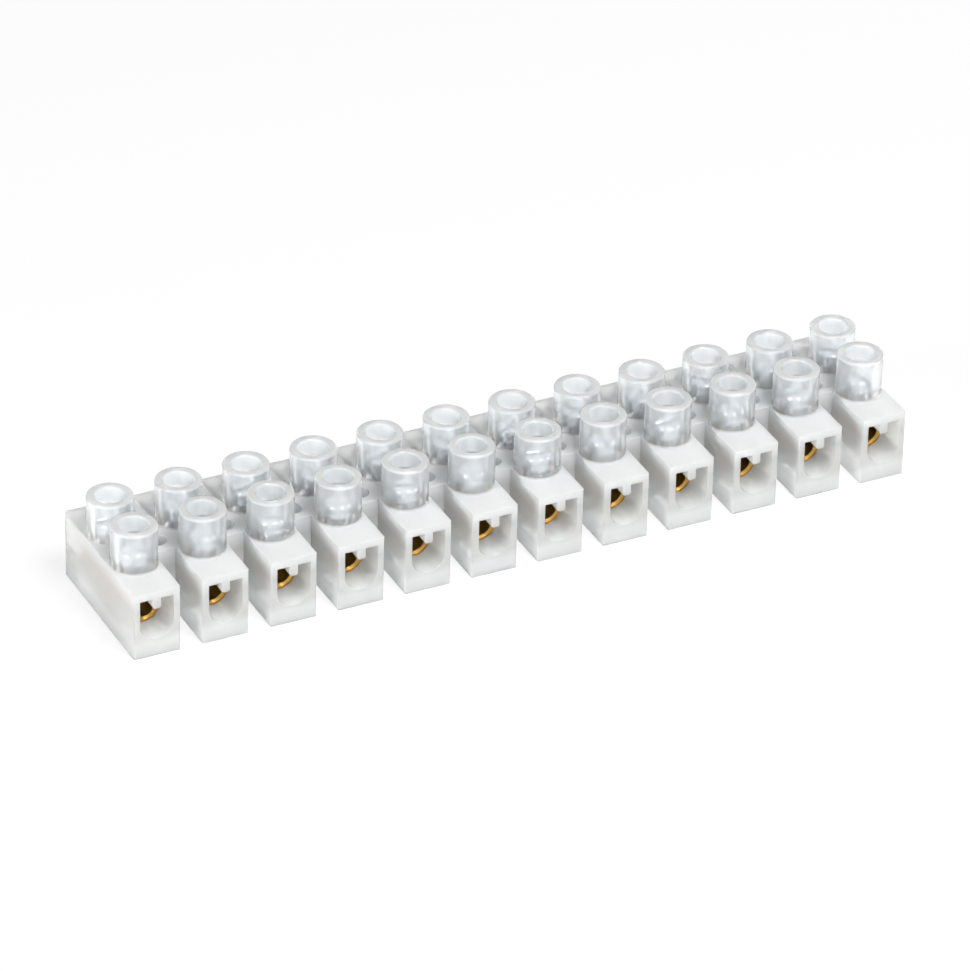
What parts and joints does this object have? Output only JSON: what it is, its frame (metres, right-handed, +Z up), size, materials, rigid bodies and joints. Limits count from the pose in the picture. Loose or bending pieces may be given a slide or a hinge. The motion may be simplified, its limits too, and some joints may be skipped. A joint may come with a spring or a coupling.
{
  "type": "terminal strip",
  "caption": "Straight screw terminal strip: a translucent moulded housing of boxed ways joined by webs, a brass sleeve in each way, and slotted clamping screws in tube towers.",
  "frame": {"origin": "middle of the strip, on its flat mounting face", "axes": "+X along the strip, wires go in along Y (front is -Y), +Z up through the screw towers"},
  "size_m": [0.1168, 0.0234, 0.0162],
  "materials": {
    "natural_polypropylene": "satin",
    "turned_brass": "satin",
    "zinc_plated_steel": "satin"
  },
  "bodies": {
    "strip": {"housing": "natural_polypropylene", "sleeve_01": "turned_brass", "sleeve_02": "turned_brass", "sleeve_03": "turned_brass", "sleeve_04": "turned_brass", "sleeve_05": "turned_brass", "sleeve_06": "turned_brass", "sleeve_07": "turned_brass", "sleeve_08": "turned_brass", "sleeve_09": "turned_brass", "sleeve_10": "turned_brass", "sleeve_11": "turned_brass", "sleeve_12": "turned_brass"},
    "screw_01_front": {"screw_01_front": "zinc_plated_steel"},
    "screw_01_back": {"screw_01_back": "zinc_plated_steel"},
    "screw_02_front": {"screw_02_front": "zinc_plated_steel"},
    "screw_02_back": {"screw_02_back": "zinc_plated_steel"},
    "screw_03_front": {"screw_03_front": "zinc_plated_steel"},
    "screw_03_back": {"screw_03_back": "zinc_plated_steel"},
    "screw_04_front": {"screw_04_front": "zinc_plated_steel"},
    "screw_04_back": {"screw_04_back": "zinc_plated_steel"},
    "screw_05_front": {"screw_05_front": "zinc_plated_steel"},
    "screw_05_back": {"screw_05_back": "zinc_plated_steel"},
    "screw_06_front": {"screw_06_front": "zinc_plated_steel"},
    "screw_06_back": {"screw_06_back": "zinc_plated_steel"},
    "screw_07_front": {"screw_07_front": "zinc_plated_steel"},
    "screw_07_back": {"screw_07_back": "zinc_plated_steel"},
    "screw_08_front": {"screw_08_front": "zinc_plated_steel"},
    "screw_08_back": {"screw_08_back": "zinc_plated_steel"},
    "screw_09_front": {"screw_09_front": "zinc_plated_steel"},
    "screw_09_back": {"screw_09_back": "zinc_plated_steel"},
    "screw_10_front": {"screw_10_front": "zinc_plated_steel"},
    "screw_10_back": {"screw_10_back": "zinc_plated_steel"},
    "screw_11_front": {"screw_11_front": "zinc_plated_steel"},
    "screw_11_back": {"screw_11_back": "zinc_plated_steel"},
    "screw_12_front": {"screw_12_front": "zinc_plated_steel"},
    "screw_12_back": {"screw_12_back": "zinc_plated_steel"}
  },
  "joints": [
    {"name": "screw_01_front_travel", "type": "slide", "parent": "strip", "child": "screw_01_front", "axis": [0, 0, 1], "range_m": [-0.0025, 0.0005]},
    {"name": "screw_01_back_travel", "type": "slide", "parent": "strip", "child": "screw_01_back", "axis": [0, 0, 1], "range_m": [-0.0025, 0.0005]},
    {"name": "screw_02_front_travel", "type": "slide", "parent": "strip", "child": "screw_02_front", "axis": [0, 0, 1], "range_m": [-0.0025, 0.0005]},
    {"name": "screw_02_back_travel", "type": "slide", "parent": "strip", "child": "screw_02_back", "axis": [0, 0, 1], "range_m": [-0.0025, 0.0005]},
    {"name": "screw_03_front_travel", "type": "slide", "parent": "strip", "child": "screw_03_front", "axis": [0, 0, 1], "range_m": [-0.0025, 0.0005]},
    {"name": "screw_03_back_travel", "type": "slide", "parent": "strip", "child": "screw_03_back", "axis": [0, 0, 1], "range_m": [-0.0025, 0.0005]},
    {"name": "screw_04_front_travel", "type": "slide", "parent": "strip", "child": "screw_04_front", "axis": [0, 0, 1], "range_m": [-0.0025, 0.0005]},
    {"name": "screw_04_back_travel", "type": "slide", "parent": "strip", "child": "screw_04_back", "axis": [0, 0, 1], "range_m": [-0.0025, 0.0005]},
    {"name": "screw_05_front_travel", "type": "slide", "parent": "strip", "child": "screw_05_front", "axis": [0, 0, 1], "range_m": [-0.0025, 0.0005]},
    {"name": "screw_05_back_travel", "type": "slide", "parent": "strip", "child": "screw_05_back", "axis": [0, 0, 1], "range_m": [-0.0025, 0.0005]},
    {"name": "screw_06_front_travel", "type": "slide", "parent": "strip", "child": "screw_06_front", "axis": [0, 0, 1], "range_m": [-0.0025, 0.0005]},
    {"name": "screw_06_back_travel", "type": "slide", "parent": "strip", "child": "screw_06_back", "axis": [0, 0, 1], "range_m": [-0.0025, 0.0005]},
    {"name": "screw_07_front_travel", "type": "slide", "parent": "strip", "child": "screw_07_front", "axis": [0, 0, 1], "range_m": [-0.0025, 0.0005]},
    {"name": "screw_07_back_travel", "type": "slide", "parent": "strip", "child": "screw_07_back", "axis": [0, 0, 1], "range_m": [-0.0025, 0.0005]},
    {"name": "screw_08_front_travel", "type": "slide", "parent": "strip", "child": "screw_08_front", "axis": [0, 0, 1], "range_m": [-0.0025, 0.0005]},
    {"name": "screw_08_back_travel", "type": "slide", "parent": "strip", "child": "screw_08_back", "axis": [0, 0, 1], "range_m": [-0.0025, 0.0005]},
    {"name": "screw_09_front_travel", "type": "slide", "parent": "strip", "child": "screw_09_front", "axis": [0, 0, 1], "range_m": [-0.0025, 0.0005]},
    {"name": "screw_09_back_travel", "type": "slide", "parent": "strip", "child": "screw_09_back", "axis": [0, 0, 1], "range_m": [-0.0025, 0.0005]},
    {"name": "screw_10_front_travel", "type": "slide", "parent": "strip", "child": "screw_10_front", "axis": [0, 0, 1], "range_m": [-0.0025, 0.0005]},
    {"name": "screw_10_back_travel", "type": "slide", "parent": "strip", "child": "screw_10_back", "axis": [0, 0, 1], "range_m": [-0.0025, 0.0005]},
    {"name": "screw_11_front_travel", "type": "slide", "parent": "strip", "child": "screw_11_front", "axis": [0, 0, 1], "range_m": [-0.0025, 0.0005]},
    {"name": "screw_11_back_travel", "type": "slide", "parent": "strip", "child": "screw_11_back", "axis": [0, 0, 1], "range_m": [-0.0025, 0.0005]},
    {"name": "screw_12_front_travel", "type": "slide", "parent": "strip", "child": "screw_12_front", "axis": [0, 0, 1], "range_m": [-0.0025, 0.0005]},
    {"name": "screw_12_back_travel", "type": "slide", "parent": "strip", "child": "screw_12_back", "axis": [0, 0, 1], "range_m": [-0.0025, 0.0005]}
  ]
}
